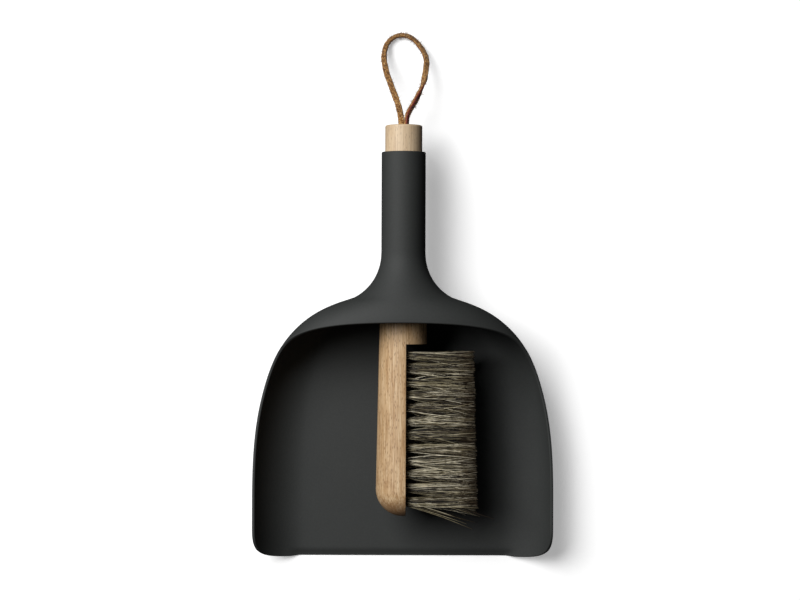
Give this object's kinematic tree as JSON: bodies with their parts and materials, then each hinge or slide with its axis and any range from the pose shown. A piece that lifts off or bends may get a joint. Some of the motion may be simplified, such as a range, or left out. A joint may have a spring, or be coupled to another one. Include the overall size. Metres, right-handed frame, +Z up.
{
  "type": "dust pan and brush set",
  "caption": "Deep hooded dust pan with a hollow handle that stores a hand brush with a turned wooden stock, trimmed hair and a leather hanging loop.",
  "frame": {"origin": "on the ground, under the middle of the set without its leather loop", "axes": "+Z up, +Y along the handle towards the hanging loop, +X towards the side that the brush's hair points to"},
  "size_m": [0.2416, 0.4257, 0.0749],
  "materials": {
    "pan_plastic": "fine moulded matt texture, dark grey green",
    "stock_wood": "turned beech, oiled",
    "brush_hair": "mixed grey brown horse hair",
    "strap_leather": "tan leather, suede on its flesh side",
    "anchor_steel": "flat wire"
  },
  "bodies": {
    "pan": {"pan_shell": "pan_plastic"},
    "brush": {"brush_stock": "stock_wood", "hanging_loop": "strap_leather", "tuft_a01": "brush_hair", "tuft_a02": "brush_hair", "tuft_a03": "brush_hair", "tuft_a04": "brush_hair", "tuft_a05": "brush_hair", "tuft_a06": "brush_hair", "tuft_a07": "brush_hair", "tuft_a08": "brush_hair", "tuft_a09": "brush_hair", "tuft_a10": "brush_hair", "tuft_a11": "brush_hair", "tuft_a12": "brush_hair", "tuft_anchors": "anchor_steel", "tuft_b01": "brush_hair", "tuft_b02": "brush_hair", "tuft_b03": "brush_hair", "tuft_b04": "brush_hair", "tuft_b05": "brush_hair", "tuft_b06": "brush_hair", "tuft_b07": "brush_hair", "tuft_b08": "brush_hair", "tuft_b09": "brush_hair", "tuft_b10": "brush_hair", "tuft_b11": "brush_hair", "tuft_c01": "brush_hair", "tuft_c02": "brush_hair", "tuft_c03": "brush_hair", "tuft_c04": "brush_hair", "tuft_c05": "brush_hair", "tuft_c06": "brush_hair", "tuft_c07": "brush_hair", "tuft_c08": "brush_hair", "tuft_c09": "brush_hair", "tuft_c10": "brush_hair", "tuft_c11": "brush_hair", "tuft_c12": "brush_hair"}
  },
  "joints": [
    {"name": "brush_slide", "type": "slide", "parent": "pan", "child": "brush", "axis": [0, -1, 0], "range_m": [0, 0.25], "deforming": ["hanging_loop"]}
  ]
}
